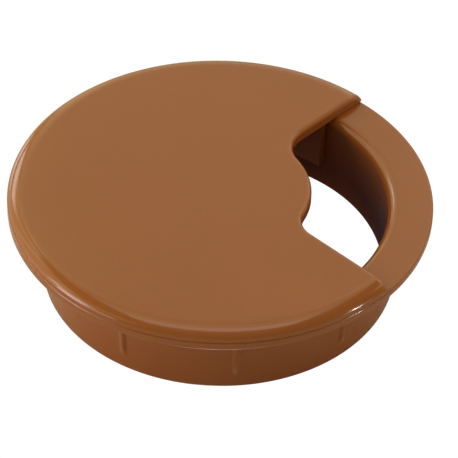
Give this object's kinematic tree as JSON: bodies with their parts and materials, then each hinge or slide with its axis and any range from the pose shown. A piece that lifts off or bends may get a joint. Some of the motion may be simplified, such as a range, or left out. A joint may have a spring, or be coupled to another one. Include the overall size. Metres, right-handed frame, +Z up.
{
  "type": "desk grommet",
  "caption": "Round desk cable grommet: a flanged liner with low ribs, and a push-in lid that turns in it and has a rounded notch for cables.",
  "frame": {"origin": "on the common axis of liner and lid, in the plane of the tube's foot, where the grommet stands", "axes": "+Z up along the axis, from the foot of the tube to the lid; +X through the middle of the lid's notch at rest; +Y away from the viewer, +X to the right"},
  "size_m": [0.09, 0.09, 0.0218],
  "materials": {
    "liner_plastic": "smooth moulded, glossy, warm brown",
    "lid_plastic": "smooth moulded, glossy, warm brown"
  },
  "bodies": {
    "liner": {"liner": "liner_plastic"},
    "lid": {"lid": "lid_plastic"}
  },
  "joints": [
    {"name": "lid_turn", "type": "hinge", "parent": "liner", "child": "lid", "pos_m": [0, 0, 0.0192], "axis": [0, 0, 1], "continuous": true}
  ]
}
